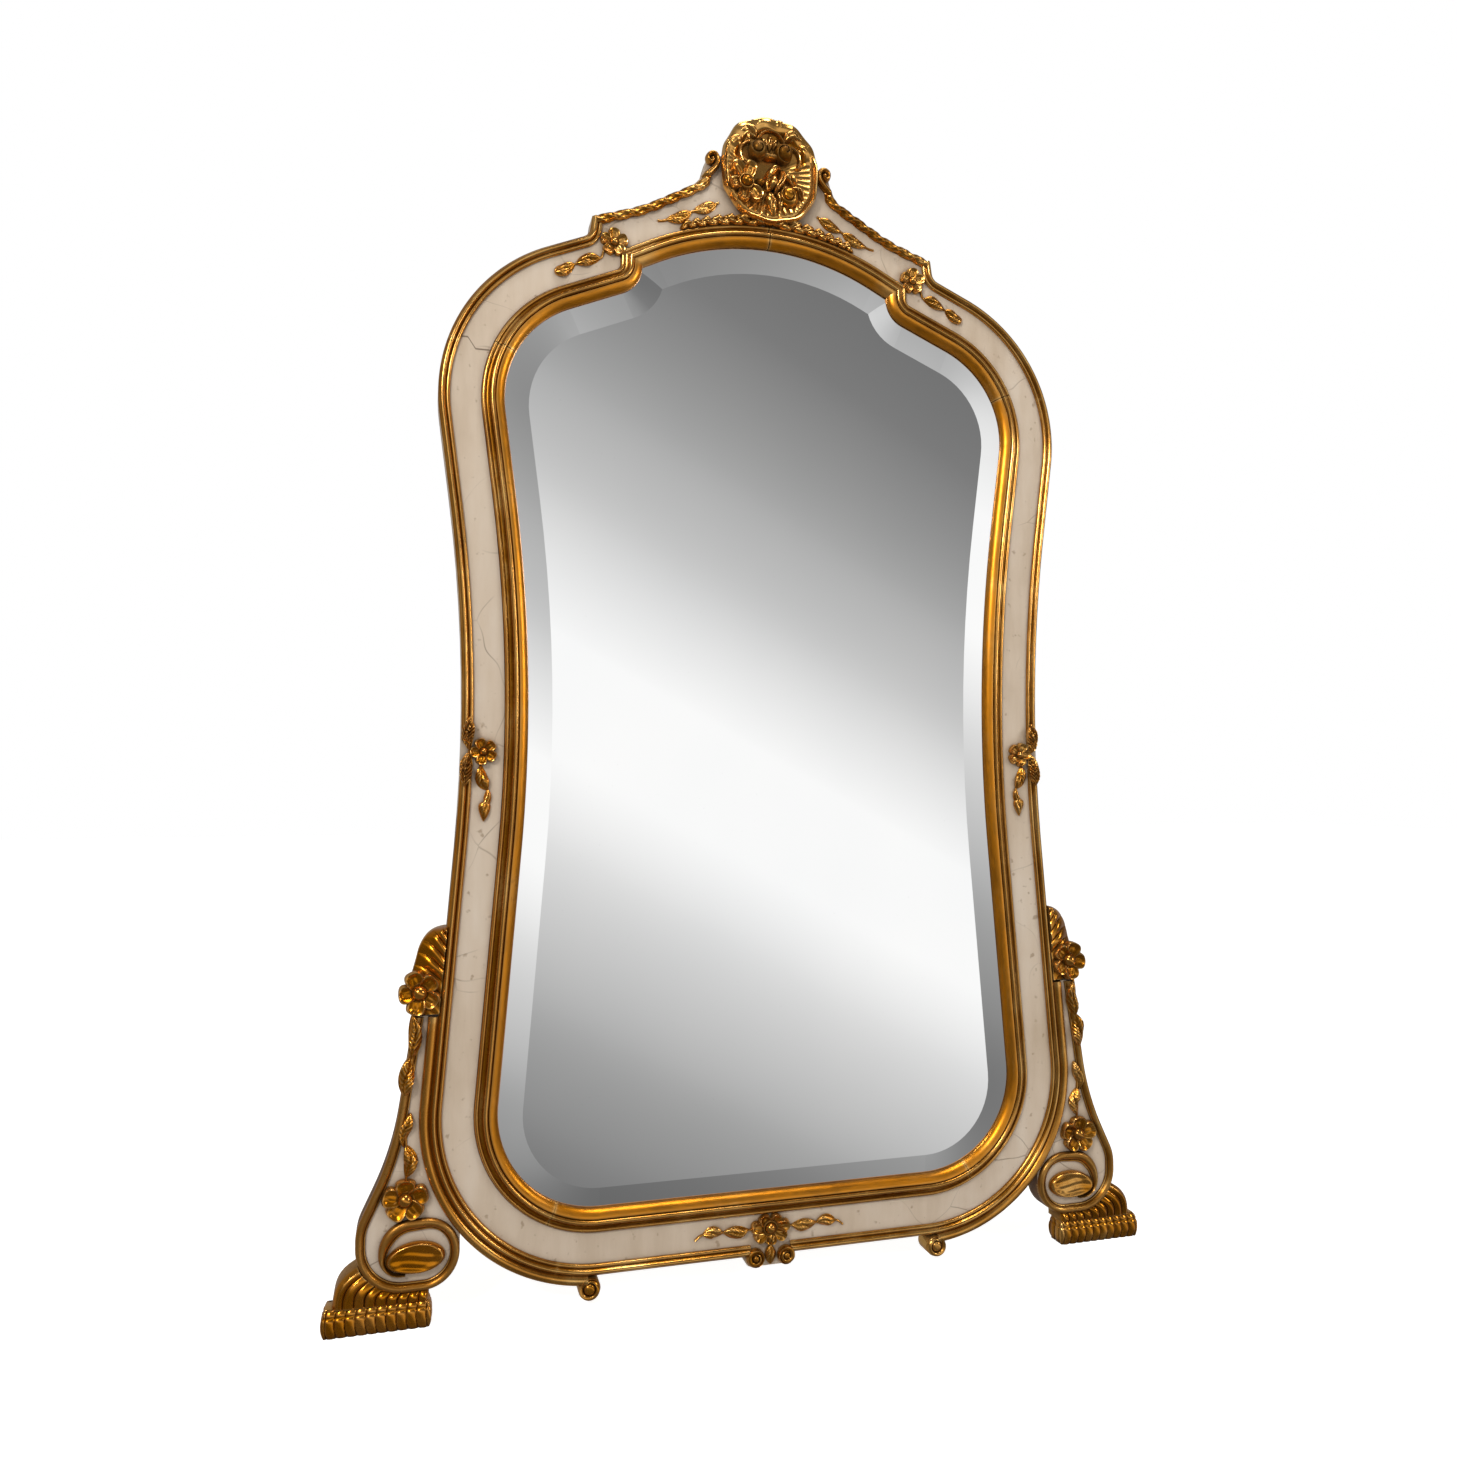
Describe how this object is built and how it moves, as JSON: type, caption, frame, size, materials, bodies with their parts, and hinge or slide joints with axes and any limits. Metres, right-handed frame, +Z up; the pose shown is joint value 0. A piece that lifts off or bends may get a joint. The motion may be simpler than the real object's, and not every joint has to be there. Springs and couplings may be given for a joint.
{
  "type": "overmantel mirror",
  "caption": "Tall shaped overmantel mirror with a bevelled plate in a painted and gilt carved frame, on scroll consoles with gadrooned feet and a shell crest.",
  "frame": {"origin": "on the shelf under the feet, midway between them and midway in the depth", "axes": "+Z up, +X to the right seen from the front, -Y out of the mirror's face towards the room"},
  "size_m": [1.136, 0.071, 1.5971],
  "materials": {
    "ivory_paint": "aged matt ivory paint, fine cracks",
    "gilding": "worn water gilding over red bole, dark in the hollows",
    "silvered_glass": "silvered plate with a wide polished bevel",
    "pine_board": "bare aged pine",
    "plain_wood": "bare beech",
    "screw_steel": "dull steel",
    "hanger_brass": "dull brass"
  },
  "bodies": {
    "frame": {"backboard_lower": "pine_board", "backboard_middle": "pine_board", "backboard_screws": "screw_steel", "backboard_upper": "pine_board", "base_scroll_left": "gilding", "base_scroll_right": "gilding", "bottom_rail": "ivory_paint", "bottom_spray": "gilding", "console_leaf_left": "gilding", "console_leaf_right": "gilding", "console_panel_left": "ivory_paint", "console_panel_right": "ivory_paint", "console_rim_left": "gilding", "console_rim_right": "gilding", "console_spray_left": "gilding", "console_spray_right": "gilding", "crest_flowers": "gilding", "crest_garland_left": "gilding", "crest_garland_right": "gilding", "crest_scrolls": "gilding", "crest_shell": "gilding", "crest_spray_left": "gilding", "crest_spray_right": "gilding", "edge_moulding_bottom_left": "gilding", "edge_moulding_bottom_right": "gilding", "edge_moulding_shoulder_left": "gilding", "edge_moulding_shoulder_right": "gilding", "edge_moulding_stile_left": "gilding", "edge_moulding_stile_right": "gilding", "foot_left": "gilding", "foot_right": "gilding", "frame_dowels": "plain_wood", "glazing_blocks": "plain_wood", "hanger_plate_left": "hanger_brass", "hanger_plate_right": "hanger_brass", "hanger_screws": "screw_steel", "mirror_plate": "silvered_glass", "rope_moulding_left": "gilding", "rope_moulding_right": "gilding", "shoulder_spray_left": "gilding", "shoulder_spray_right": "gilding", "sight_moulding_arch_left": "gilding", "sight_moulding_arch_right": "gilding", "sight_moulding_bottom": "gilding", "sight_moulding_shoulder_left": "gilding", "sight_moulding_shoulder_right": "gilding", "sight_moulding_stile_left": "gilding", "sight_moulding_stile_right": "gilding", "stile_left": "ivory_paint", "stile_right": "ivory_paint", "top_rail_left": "ivory_paint", "top_rail_right": "ivory_paint", "waist_leaf_left": "gilding", "waist_leaf_right": "gilding", "waist_spray_left": "gilding", "waist_spray_right": "gilding", "wall_spacers": "plain_wood"},
    "ring_left": {"hanger_ring_left": "hanger_brass"},
    "ring_right": {"hanger_ring_right": "hanger_brass"}
  },
  "joints": [
    {"name": "ring_left_swing", "type": "hinge", "parent": "frame", "child": "ring_left", "pos_m": [-0.40978, 0.02708, 1.093], "axis": [1, 0, 0], "range_deg": [0, 170]},
    {"name": "ring_right_swing", "type": "hinge", "parent": "frame", "child": "ring_right", "pos_m": [0.40978, 0.02708, 1.093], "axis": [1, 0, 0], "range_deg": [0, 170]}
  ]
}
